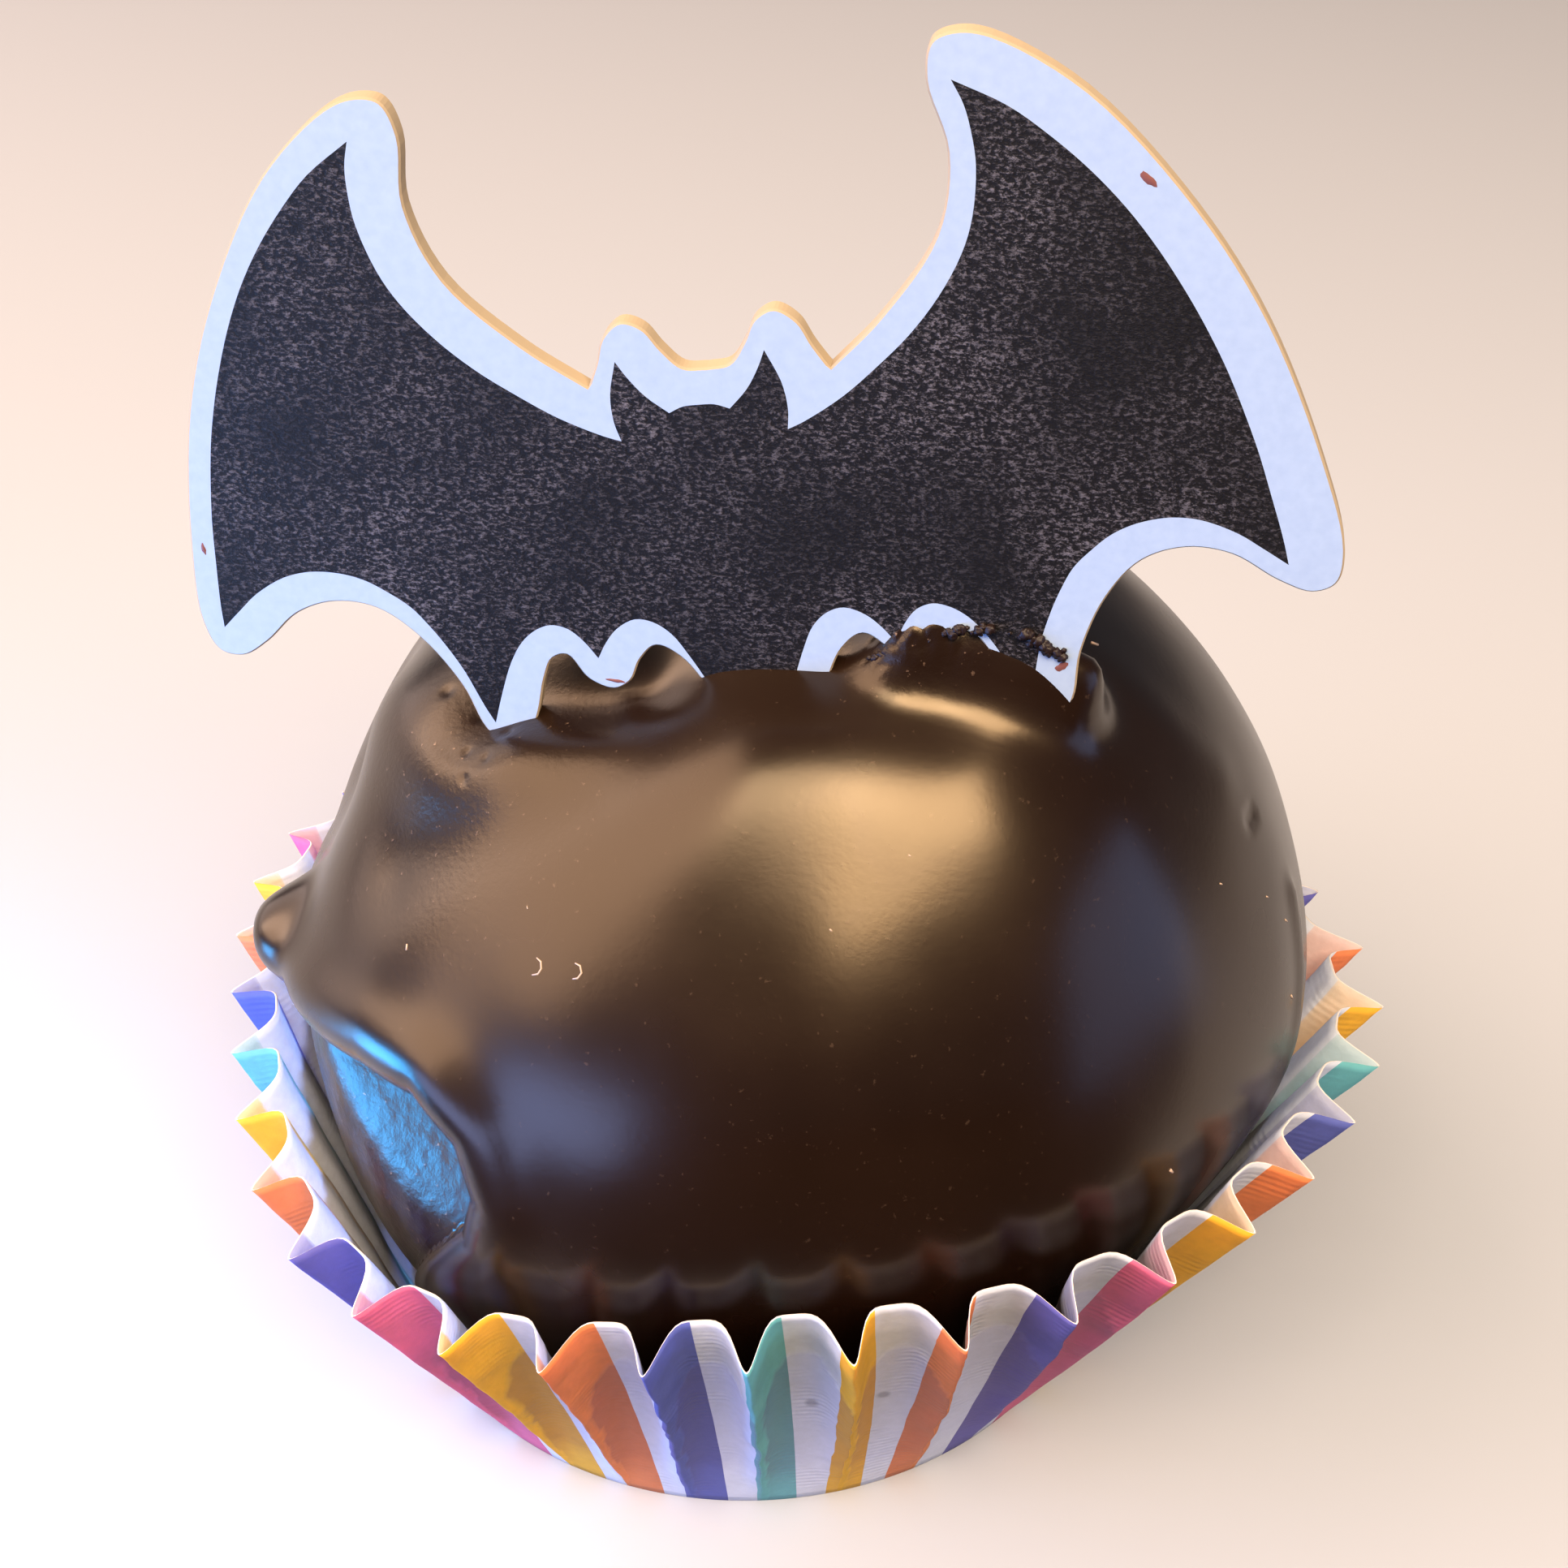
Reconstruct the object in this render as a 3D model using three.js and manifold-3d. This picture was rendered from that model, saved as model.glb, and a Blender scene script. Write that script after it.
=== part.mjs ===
// A chocolate-coated cake pop without a stick. It sits in a small fluted paper case, and a die-cut
// bat plaque is pushed into its top.
// Millimetres and degrees, +Z up. The origin is the middle of the case's flat base, and -Y is the front.

import * as THREE from 'three';
import { mergeVertices } from 'three/addons/utils/BufferGeometryUtils.js';
import Module from 'manifold-3d';

const GAP = 0.3; // clearance between two pieces that touch

// The paper case: a flat disc, and a fluted wall that leans out from it.
const CASE = {
  baseRadius: 16.5,
  rimRadius: 25, // to the sharp outer folds
  rimHeight: 16.4,
  rimShift: 1.1, // how far the rim's middle lies to +X of the base's
  paper: 0.3,
  flutes: 38,
  firstFold: 144.5,
  foldDrift: 1.5, // the flutes are packed closer at the front: how far their folds stray at most,
  driftPeak: 163.5, // and where
  slant: 1.2, // the flutes run up aslant: degrees from the rim to the base,
  frontSlant: 8.3, // and more round this angle, where the case was handled
  slantPeak: -62,
  slantWidth: 20,
  rimDepth: 2, // from the outer folds in to the broad crests, and none at the base
  crestRound: 3, // how the crests' arches round off, and how the valley opens at a fold
  foldOpening: 1.5,
  crestRise: 0.65, // the crests lean out less than the folds, so they stand higher
  stepsPerFlute: 8,
};
// Handling has pushed the rim out of round and out of level, in waves that peak at these angles.
const RIM_SWAY = [
  { waves: 1, size: 0.5, peak: 10 },
  { waves: 2, size: 0.7, peak: -42 },
  { waves: 3, size: 0.8, peak: -20 },
  { waves: 4, size: 0.35, peak: -15 },
  { waves: 5, size: 0.7, peak: 9 },
];
const RIM_LIFT = [
  { waves: 1, size: 0.7, peak: -37 },
  { waves: 2, size: 0.5, peak: -61 },
  { waves: 3, size: 0.8, peak: -57 },
];

// The cake: a ball that fills the case. Its forms lie in directions seen from its middle,
// as [azimuth, elevation], and their widths are degrees there too.
const CAKE = {
  radius: 21.6,
  middle: new THREE.Vector3(2.7, 0.1, 17),
  rounding: 0.6, // of the edges where the case shapes the ball
  divisions: 17,
  bisections: 20, // to find where the ball meets the wall
};
const LOBES = [
  { at: [-146, -15], width: 26, height: 1.1 }, // belly at the lower left
  { at: [-178, 18], width: 9, height: -0.7 }, // hollow side below the left shoulder
  { at: [177, 33], width: 7, height: -1.3 }, // hollow in the shoulder's side
  { at: [-48, 57], width: 12, height: 1 }, // mound in front of the plaque, at the right
  { at: [-69, 60], width: 4, height: -0.5 }, // dent between the mound and the plaque
  { at: [-170, 11.5], width: 4, height: 1.6 }, // drop of chocolate where the coat's edge starts
];
const RIDGES = [
  // the lip that the plaque pushed up
  { path: [[-66, 66.5], [-58, 64.5], [-50, 60.5], [-43, 56]], width: 3.5, height: 2.1 },
  // the left shoulder, the valley in front of it and of the plaque, and the flare above the coat's edge
  { path: [[-178, 38], [-166, 44], [-155, 47], [-144, 50]], width: 5, height: 0.8 },
  { path: [[-150, 34], [-138, 43], [-127, 51], [-116, 59], [-104, 63.5], [-88, 65]], width: 4.5, height: -0.4 },
  { path: [[-166, 12], [-150, 15], [-136, 17]], width: 7, height: 0.6 },
  // the hollow that the plaque pressed into the shoulder, and the swell where the coat was drawn up to it
  { path: [[-151, 52], [-141, 58], [-130, 63]], width: 4, height: -1.2 },
  { path: [[-100, 59], [-65, 59]], width: 7, height: 0.6 },
];
const COAT = { thickness: 0.8, edge: 0.7, roll: 0.25, rollWidth: 1.1 };
// The second coat of chocolate stops short at the lower left. There the crumb under it is nearly flat:
// its plane lies so far from the ball's middle, in this direction. Then the bare patch's outline.
const FLAT = { at: 18.6, towards: [-128, 30], rounding: 0.25, leastCosine: 0.3 };
const BARE_PATCH = [
  [-170, 8], [-157, 10], [-142, 14], [-134, 15], [-129, 12], [-127, 7], [-128, 2], [-134, -6],
  [-145, -22], [-160, -34], [-182, -30], [-196, -12], [-190, 4],
];

// The plaque: a bat cut from thin card, mirrored about its own upright axis.
const PLAQUE = {
  thickness: 0.7,
  middle: new THREE.Vector3(1, -7.9, 38.1),
  yaw: -9, // the +X wing comes forward
  lean: 1.2, // the top comes forward
  roll: 8.2, // the +X wing is higher
  bendRadius: 345, // both wings curl forward a little
  sheet: [46, 48], // the flat card that the bat is cut from
  bendSteps: 16, // across the sheet
  prismDepth: 8, // of the outline before the sheet cuts it
  nodeSteps: 3, // along the outline, from each node to the next
  marginTurns: 8, // directions in which a margin widens the outline
};
// The right half of its outline from the head's middle: the ear, then the wing, two scallops and tail.
const HEAD_AND_EAR = [
  [0, 10.8], [0.8, 10.9], [1.4, 11.6], [1.9, 12.4], [2.6, 12.7], [3.3, 12.2], [3.7, 11.3], [4.15, 10.45],
];
const WING_AND_TAIL = [
  [4.15, 10.45], [6.1, 12.15], [8.2, 14.75], [8.85, 17.4], [8.45, 19.7], [8.75, 20.85], [9.5, 21.1],
  [10.6, 20.85], [13.3, 18.9], [16.3, 14.95], [18.35, 10.95], [19.9, 5.95], [20.5, 2.6], [20.2, 1.3],
  [19.4, 1], [18.3, 1.5], [16.8, 2.6], [15.3, 2.93], [13.8, 2.5], [12.5, 1.1], [11.45, -1.1],
  [11, -3.1], [10.35, -4.05], [9.45, -3.65], [8.8, -2.5], [8.25, -1.05], [7.75, -0.2], [7.2, -0.1],
  [6.6, -1.2], [5.75, -1.7], [5.05, -1.4], [4.5, -0.5], [3.8, 0.05], [3, -0.5], [2.2, -2],
  [1.2, -4.6], [0, -5.6],
];

const { degToRad, radToDeg, lerp, clamp, smoothstep, euclideanModulo } = THREE.MathUtils;

const wasm = await Module();
wasm.setup();

function stripped(geometry) {
  geometry.deleteAttribute('normal');
  geometry.deleteAttribute('uv');
  return geometry;
}

function toSolid(geometry) {
  const merged = mergeVertices(stripped(geometry.clone()), 1e-4);
  return new wasm.Manifold(new wasm.Mesh({
    numProp: 3,
    vertProperties: Float32Array.from(merged.attributes.position.array),
    triVerts: Uint32Array.from(merged.index.array),
  }));
}

function toGeometry(solid) {
  const mesh = solid.getMesh();
  const geometry = new THREE.BufferGeometry();
  geometry.setAttribute('position', new THREE.BufferAttribute(mesh.vertProperties, 3));
  geometry.setIndex(new THREE.BufferAttribute(mesh.triVerts, 1));
  return geometry;
}

function bell(distance, width) {
  return Math.exp(-0.5 * (distance / width) ** 2);
}

// ---- Paper case ----

function sumOfWaves(table, angle) {
  let total = 0;
  for (const { waves, size, peak } of table) {
    total += size * Math.cos(waves * (angle - degToRad(peak)));
  }
  return total;
}

function foldDrift(angle) {
  return degToRad(CASE.foldDrift * Math.cos(angle - degToRad(CASE.driftPeak)));
}

function foldRadius(angle, share) {
  return lerp(CASE.baseRadius, CASE.rimRadius + sumOfWaves(RIM_SWAY, angle), share);
}

// The wall's outer face, for an angle in radians at the rim and a share of its height, 0 at the base.
function wallPoint(rimAngle, share, inset) {
  const phase = CASE.flutes * radToDeg(rimAngle - degToRad(CASE.firstFold) - foldDrift(rimAngle)) / 360;
  const toCrest = 2 * Math.abs(phase - Math.round(phase)); // 0 at a fold, 1 at a crest's middle
  const crest = (1 - (1 - toCrest) ** CASE.crestRound) ** CASE.foldOpening;
  const fromPeak = euclideanModulo(radToDeg(rimAngle) - CASE.slantPeak + 180, 360) - 180;
  const slant = CASE.slant + CASE.frontSlant * bell(fromPeak, CASE.slantWidth);
  const angle = rimAngle + degToRad(slant) * (1 - share);
  const radius = foldRadius(angle, share) - CASE.rimDepth * share * crest - inset;
  return [
    radius * Math.cos(angle) + CASE.rimShift * share,
    radius * Math.sin(angle),
    share * (CASE.rimHeight + sumOfWaves(RIM_LIFT, angle) + CASE.crestRise * crest),
  ];
}

// The angle at the rim, in radians, of one of the steps round the wall, so that every fold gets a step.
function stepAngle(step) {
  const even = degToRad(CASE.firstFold + 360 * step / (CASE.flutes * CASE.stepsPerFlute));
  const rounds = 5;
  let angle = even;
  for (let round = 0; round < rounds; round++) {
    angle = even + foldDrift(angle);
  }
  return angle;
}

function caseGeometry() {
  const count = CASE.flutes * CASE.stepsPerFlute;
  const floorShare = CASE.paper / CASE.rimHeight;
  const rings = [[0, 0], [0.5, 0], [1, 0], [1, CASE.paper], [0.5, CASE.paper], [floorShare, CASE.paper]];
  const positions = [];
  for (const [share, inset] of rings) {
    for (let i = 0; i < count; i++) {
      const point = wallPoint(stepAngle(i), share, inset);
      if (share === floorShare) {
        point[2] = CASE.paper;
      }
      positions.push(...point);
    }
  }
  const underside = rings.length * count;
  const floor = underside + 1;
  positions.push(0, 0, 0, 0, 0, CASE.paper);

  const faces = [];
  for (let i = 0; i < count; i++) {
    const next = (i + 1) % count;
    for (let ring = 0; ring < rings.length - 1; ring++) {
      const low = ring * count;
      const high = low + count;
      faces.push(low + i, low + next, high + next, low + i, high + next, high + i);
    }
    const last = (rings.length - 1) * count;
    faces.push(underside, next, i, floor, last + i, last + next);
  }
  const geometry = new THREE.BufferGeometry();
  geometry.setAttribute('position', new THREE.Float32BufferAttribute(positions, 3));
  geometry.setIndex(faces);
  return geometry;
}

// ---- Cake ----

function direction([azimuth, elevation]) {
  const across = Math.cos(degToRad(elevation));
  const turn = degToRad(azimuth);
  return new THREE.Vector3(across * Math.cos(turn), across * Math.sin(turn), Math.sin(degToRad(elevation)));
}

// Degrees between a direction and the nearest point of a path.
function angleToPath(towards, path) {
  let nearest = 180;
  for (let i = 0; i + 1 < path.length; i++) {
    const line = new THREE.Line3(path[i], path[i + 1]);
    const onPath = line.closestPointToPoint(towards, true, new THREE.Vector3());
    nearest = Math.min(nearest, radToDeg(towards.angleTo(onPath)));
  }
  return nearest;
}

// Millimetres from a direction to the outline of the bare patch, negative inside it.
function patchDistance(towards) {
  const elevation = radToDeg(Math.asin(clamp(towards.z, -1, 1)));
  let azimuth = radToDeg(Math.atan2(towards.y, towards.x));
  if (azimuth > 0) {
    azimuth -= 360;
  }
  const squeeze = Math.cos(degToRad(elevation));
  let inside = false;
  let nearest = Infinity;
  BARE_PATCH.forEach(([az1, el1], i) => {
    const [az0, el0] = BARE_PATCH.at(i - 1);
    if ((el0 > elevation) !== (el1 > elevation)
      && azimuth < az0 + (az1 - az0) * (elevation - el0) / (el1 - el0)) {
      inside = !inside;
    }
    const along = new THREE.Vector2((az1 - az0) * squeeze, el1 - el0);
    const from = new THREE.Vector2((azimuth - az0) * squeeze, elevation - el0);
    const share = clamp(from.dot(along) / along.lengthSq(), 0, 1);
    nearest = Math.min(nearest, from.addScaledVector(along, -share).length());
  });
  return (inside ? -1 : 1) * degToRad(nearest) * CAKE.radius;
}

function freeReach(towards) {
  let reach = CAKE.radius;
  for (const { at, width, height } of LOBES) {
    reach += height * bell(radToDeg(towards.angleTo(direction(at))), width);
  }
  for (const { path, width, height } of RIDGES) {
    reach += height * bell(angleToPath(towards, path.map(direction)), width);
  }
  const edge = patchDistance(towards);
  const plane = FLAT.at / Math.max(towards.dot(direction(FLAT.towards)), FLAT.leastCosine);
  const bare = smoothLeast([reach - COAT.thickness, plane], FLAT.rounding);
  const coated = reach + COAT.roll * bell(edge - COAT.rollWidth, COAT.rollWidth / 2);
  return lerp(coated, bare, smoothstep(-edge, -COAT.edge, COAT.edge));
}

function insideCase(point) {
  const aroundBase = Math.atan2(point.y, point.x);
  const crestHeight = CASE.rimHeight + sumOfWaves(RIM_LIFT, aroundBase) + CASE.crestRise;
  const share = Math.max(point.z, 0) / crestHeight;
  const x = point.x - CASE.rimShift * share;
  const angle = Math.atan2(point.y, x);
  return Math.hypot(x, point.y) < foldRadius(angle, share) - CASE.rimDepth * share - CASE.paper - GAP;
}

// How far the ball can go in a direction before it meets the case's wall.
function wallReach(towards) {
  let near = 0;
  let far = 2 * CAKE.radius;
  for (let step = 0; step < CAKE.bisections; step++) {
    const middle = (near + far) / 2;
    if (insideCase(CAKE.middle.clone().addScaledVector(towards, middle))) {
      near = middle;
    } else {
      far = middle;
    }
  }
  return near;
}

function smoothLeast(lengths, rounding) {
  return -rounding * Math.log(lengths.reduce((sum, length) => sum + Math.exp(-length / rounding), 0));
}

function cakeGeometry() {
  const geometry = mergeVertices(stripped(new THREE.IcosahedronGeometry(1, CAKE.divisions)), 1e-5);
  const positions = geometry.attributes.position;
  const towards = new THREE.Vector3();
  const floor = CAKE.middle.z - CASE.paper - GAP;
  for (let i = 0; i < positions.count; i++) {
    towards.fromBufferAttribute(positions, i).normalize();
    const limits = [freeReach(towards), wallReach(towards)];
    if (towards.z < 0) {
      limits.push(floor / -towards.z);
    }
    const reach = smoothLeast(limits, CAKE.rounding);
    positions.setXYZ(i, ...towards.multiplyScalar(reach).add(CAKE.middle).toArray());
  }
  return geometry;
}

// ---- Plaque ----

function smoothLine(nodes) {
  const points = nodes.map(([x, y]) => new THREE.Vector3(x, y, 0));
  const curve = new THREE.CatmullRomCurve3(points, false, 'centripetal');
  return curve.getPoints(PLAQUE.nodeSteps * (nodes.length - 1));
}

function plaqueShape() {
  const half = [...smoothLine(HEAD_AND_EAR), ...smoothLine(WING_AND_TAIL).slice(1)];
  const mirrored = half.slice(1, -1).reverse().map(({ x, y }) => ({ x: -x, y }));
  return new THREE.Shape([...half, ...mirrored].reverse().map(({ x, y }) => new THREE.Vector2(x, y)));
}

// The outline as a deep prism, cut to a thin sheet that curls forward at both wings. It stands on its
// tail in its own XY plane, with its face to +Z. A margin makes it larger all round.
function plaqueSolid(margin) {
  const [width, height] = PLAQUE.sheet;
  const thickness = PLAQUE.thickness + 2 * margin;
  const sheet = stripped(new THREE.BoxGeometry(width, height, thickness, PLAQUE.bendSteps, 1, 1));
  const positions = sheet.attributes.position;
  for (let i = 0; i < positions.count; i++) {
    const x = positions.getX(i);
    positions.setZ(i, positions.getZ(i) + x * x / (2 * PLAQUE.bendRadius));
  }
  const prism = new THREE.ExtrudeGeometry(plaqueShape(), { depth: PLAQUE.prismDepth, bevelEnabled: false });
  prism.translate(0, 0, -PLAQUE.prismDepth / 2);
  let outline = toSolid(prism);
  if (margin > 0) {
    const shifts = [];
    for (let turn = 0; turn < PLAQUE.marginTurns; turn++) {
      const angle = 2 * Math.PI * turn / PLAQUE.marginTurns;
      shifts.push(outline.translate([margin * Math.cos(angle), margin * Math.sin(angle), 0]));
    }
    outline = shifts.reduce((sum, shifted) => sum.add(shifted), outline);
  }
  return outline.intersect(toSolid(sheet));
}

// ---- Assembly ----

const chocolate = new THREE.MeshStandardMaterial({ color: '#2c1a15', roughness: 0.38, metalness: 0 });
const card = new THREE.MeshStandardMaterial({ color: '#dfe6f4', roughness: 0.7, metalness: 0 });
const paper = new THREE.MeshStandardMaterial({ color: '#f1ebe2', roughness: 0.75, metalness: 0 });

const cakePop = new THREE.Group();

const paperCase = new THREE.Mesh(caseGeometry(), paper);
paperCase.name = 'paper_case';
cakePop.add(paperCase);

const topper = new THREE.Mesh(toGeometry(plaqueSolid(0)), card);
topper.name = 'topper';
topper.rotation.z = degToRad(PLAQUE.roll);
const upright = new THREE.Group();
upright.rotation.x = degToRad(90 + PLAQUE.lean);
upright.add(topper);
const turned = new THREE.Group();
turned.position.copy(PLAQUE.middle);
turned.rotation.z = degToRad(PLAQUE.yaw);
turned.add(upright);
cakePop.add(turned);

turned.updateMatrixWorld(true);
const slot = toSolid(toGeometry(plaqueSolid(GAP)).applyMatrix4(topper.matrixWorld));
const cake = new THREE.Mesh(toGeometry(toSolid(cakeGeometry()).subtract(slot)), chocolate);
cake.name = 'cake';
cakePop.add(cake);

export default cakePop;
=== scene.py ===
import bmesh
import bpy
import numpy as np
from mathutils import Matrix, Vector, geometry, noise


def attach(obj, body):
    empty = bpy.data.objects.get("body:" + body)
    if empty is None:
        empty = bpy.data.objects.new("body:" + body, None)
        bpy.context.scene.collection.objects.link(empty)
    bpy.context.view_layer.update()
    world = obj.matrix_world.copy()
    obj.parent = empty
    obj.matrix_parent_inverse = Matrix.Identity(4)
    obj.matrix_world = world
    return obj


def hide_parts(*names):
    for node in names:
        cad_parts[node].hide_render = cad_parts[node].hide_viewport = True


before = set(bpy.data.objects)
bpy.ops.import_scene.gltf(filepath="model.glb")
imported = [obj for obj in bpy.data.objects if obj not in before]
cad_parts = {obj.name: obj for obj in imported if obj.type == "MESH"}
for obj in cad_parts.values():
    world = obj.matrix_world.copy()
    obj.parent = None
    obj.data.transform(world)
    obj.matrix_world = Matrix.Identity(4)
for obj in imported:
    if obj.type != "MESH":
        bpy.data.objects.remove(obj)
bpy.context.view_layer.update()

# Sizes are millimetres and degrees, in the frame of the CAD model: +Z up, -Y to the front,
# and the origin in the middle of the case's base. MM turns them to metres where a mesh is made.
MM = 0.001

# ---------------------------------------------------------------------------------------------
# The paper case. Thin greaseproof paper, printed with rainbow stripes, pressed from a flat round
# into a fluted wall that leans out. Its outer folds are sharp, its inner crests are round, and
# the sweet's own weight and handling have pushed the rim out of round.
# ---------------------------------------------------------------------------------------------
BASE_RADIUS, RIM_RADIUS, RIM_HEIGHT, RIM_SHIFT = 16.5, 25.0, 16.4, 1.1
FLUTES, FIRST_FOLD, FOLD_DRIFT, DRIFT_PEAK = 38, 144.5, 1.5, 163.5
RIM_DEPTH, CREST_RISE = 2.0, 0.65
CAD_PAPER, PAPER = 0.3, 0.08
# waves round the rim: how many, how large, and where one peaks
RIM_SWAY = [(1, 0.5, 10), (2, 0.7, -42), (3, 0.8, -20), (4, 0.35, -15), (5, 0.7, 9)]
RIM_LIFT = [(1, 0.7, -37), (2, 0.5, -61), (3, 0.8, -57)]
# the flutes run up the wall aslant, most of all at the front right: degrees at the base
SLIP_ALL_ROUND, SLIP, SLIP_PEAK, SLIP_WIDTH = 1.2, 8.3, -62, 20
# the arches' crests: their place in the flute, how round they are, and how wide the folds between them open
ARCH_AT, ARCH_ROUND, FOLD_OPENING = 0.45, 4.2, 2
# handling left the folds wandering (in degrees, by flutes and millimetres), the flutes uneven in depth and
# the paper crinkled
WANDER, WANDER_WIDTH, WANDER_LENGTH = 0.55, 0.16, 1.6
DEPTH_CHANGE, CRINKLE, CRINKLE_LENGTH = 0.22, 0.05, 2.2
SURFACE_INSET = 0.06  # keeps the crinkled wall inside the CAD model's
STEPS_PER_FLUTE, ROWS = 24, 34


def bell(distance, width):
    """1 at no distance, falling smoothly to almost nothing at three widths."""
    return np.exp(-0.5 * (distance / width) ** 2)


def smooth_step(value, low, high):
    """0 up to low, 1 from high on, and smooth between them."""
    share = np.clip((value - low) / (high - low), 0, 1)
    return share * share * (3 - 2 * share)


def sum_of_waves(table, angle):
    """How far the waves move the rim at an angle in radians."""
    return sum(size * np.cos(count * (angle - np.radians(peak))) for count, size, peak in table)


def fold_angle(phase):
    """The angle, in radians, that lies this many flutes on from the first fold. The folds' spacing drifts."""
    even = np.radians(FIRST_FOLD + 360 * phase / FLUTES)
    angle = even
    for _ in range(6):
        angle = even + np.radians(FOLD_DRIFT * np.cos(angle - np.radians(DRIFT_PEAK)))
    return angle


def ripple(points, seed):
    """Smooth noise between about -1 and 1 at each point."""
    offset = Vector((13.7 * seed, -7.1 * seed, 3.3 * seed))
    return np.array([noise.noise(Vector(p) + offset) for p in points])


def linear(code):
    """A hex colour in sRGB as Blender's linear colour."""
    shares = [int(code[i:i + 2], 16) / 255 for i in (1, 3, 5)]
    return tuple(s / 12.92 if s <= 0.04045 else ((s + 0.055) / 1.055) ** 2.4 for s in shares) + (1.0,)


def add(tree, kind, inputs=None, **settings):
    """Adds a node with its settings, and sets or links its inputs."""
    made = tree.nodes.new(kind)
    for name, value in settings.items():
        setattr(made, name, value)
    for name, value in (inputs or {}).items():
        if isinstance(value, bpy.types.NodeSocket):
            tree.links.new(value, made.inputs[name])
        else:
            made.inputs[name].default_value = value
    return made


def new_material(name, **sockets):
    """A material whose surface has these values on its own sockets."""
    made = bpy.data.materials.new(name)
    made.use_nodes = True
    surface = made.node_tree.nodes["Principled BSDF"]
    for socket, value in sockets.items():
        surface.inputs[socket.replace("_", " ")].default_value = value
    return made, made.node_tree, surface


def mesh_piece(name, points, faces, materials, face_material=None):
    """A smooth-shaded object from points in millimetres."""
    mesh = bpy.data.meshes.new(name)
    mesh.from_pydata((np.asarray(points) * MM).tolist(), [], [list(map(int, f)) for f in faces])
    for material in materials:
        mesh.materials.append(material)
    if face_material is not None:
        mesh.polygons.foreach_set("material_index", np.asarray(face_material, dtype=np.int32))
    mesh.polygons.foreach_set("use_smooth", np.ones(len(mesh.polygons), dtype=bool))
    mesh.update()
    piece = bpy.data.objects.new(name, mesh)
    bpy.context.scene.collection.objects.link(piece)
    return piece


def point_values(piece, name, values):
    """Gives each point a value that a material can read by name."""
    piece.data.attributes.new(name, "FLOAT", "POINT").data.foreach_set("value", values.astype(np.float32))


# Where each flute's stripe starts and ends, in flutes from its fold, at the rim and at the base.
# The stripes wrap the outer folds, and slant across the wall a little more than the flutes do.
STRIPE_AT = [-200, -150, -120, -111, -102, -92.7, -83.4, -74, -65, -55.6, -20, 60, 120, 160]
RIM_START = [-0.15, -0.14, -0.12, -0.10, -0.06, -0.06, -0.10, -0.14, -0.21, -0.19, -0.20, -0.25, -0.20, -0.15]
RIM_END = [0.42, 0.40, 0.34, 0.34, 0.38, 0.36, 0.28, 0.27, 0.25, 0.24, 0.24, 0.22, 0.34, 0.42]
BASE_START = [-0.10, -0.06, 0.0, 0.02, -0.07, -0.06, -0.18, -0.46, -0.49, -0.48, -0.45, -0.30, -0.15, -0.10]
BASE_END = [0.50, 0.56, 0.68, 0.66, 0.60, 0.50, 0.42, 0.08, 0.08, 0.10, 0.15, 0.25, 0.45, 0.50]
STRIPE_COLOURS = ["#f27ca2", "#ffc842", "#f89862", "#6a76c8", "#7ac9cf", "#ffc842", "#f89862", "#7472c2"]
FIRST_STRIPE = 7  # the stripe that starts at the fold with phase 0, so that the front's colours fall right
WHOLE_TURNS = 8 * len(STRIPE_COLOURS)  # keeps the stripes' numbers above 0 and leaves their colours alone


def case_grid():
    """Points of the outer wall, rows from base to rim, with each one's phase and share of height."""
    steps = np.arange(FLUTES * STEPS_PER_FLUTE) / STEPS_PER_FLUTE
    # more steps close to the sharp folds
    within = steps % 1
    phase = np.floor(steps) + 0.5 - 0.5 * np.cos(np.pi * within) * np.abs(np.cos(np.pi * within)) ** 0.25
    share = np.linspace(0, 1, ROWS)
    phases, shares = np.meshgrid(phase, share)
    return phases, shares


phases, shares = case_grid()
angle = fold_angle(phases)
# round arches between narrow folds, each a little nearer to the fold before it
fold_number = np.round(phases)
after_fold = phases % 1
toward_crest = np.where(after_fold < ARCH_AT, after_fold / ARCH_AT, (1 - after_fold) / (1 - ARCH_AT))
crest = (1 - (1 - toward_crest) ** ARCH_ROUND) ** FOLD_OPENING
# crushed folds: each wanders a little along its length, and each flute is a little deeper or shallower
height = shares * RIM_HEIGHT


def wall_ripple(across, up, seed, finer=1.0):
    """Smooth noise on the wall, from places across the flutes and up them."""
    places = np.stack([across, up, 0 * up], -1).reshape(-1, 3) * [1, finer, 1]
    return ripple(places, seed).reshape(up.shape)


mid_wall = np.sin(np.pi * np.clip(shares, 0, 1))  # 0 at the base and the rim
# each fold and each flute has a place of its own in the noise
wander = wall_ripple(fold_number * 5.3, height / WANDER_LENGTH, 1)
wander += 0.6 * wall_ripple(fold_number * 5.3, height / WANDER_LENGTH, 2, finer=2.3)
uneven = 1 + DEPTH_CHANGE * wall_ripple(np.floor(phases) * 3.7, shares * 1.2, 3) * mid_wall ** 0.5
bent = angle + np.radians(WANDER) * wander * bell(phases - fold_number, WANDER_WIDTH) * mid_wall ** 0.5
from_peak = np.degrees((angle - np.radians(SLIP_PEAK) + np.pi) % (2 * np.pi) - np.pi)
bent += np.radians(SLIP_ALL_ROUND + SLIP * bell(from_peak, SLIP_WIDTH)) * (1 - shares)
depth = RIM_DEPTH * shares * uneven
fold = BASE_RADIUS + (RIM_RADIUS + sum_of_waves(RIM_SWAY, bent) - BASE_RADIUS) * shares
crinkle = CRINKLE * wall_ripple(phases * 2.1, height / CRINKLE_LENGTH, 4) * mid_wall ** 0.4
radius = fold - depth * crest - SURFACE_INSET + crinkle


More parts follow.
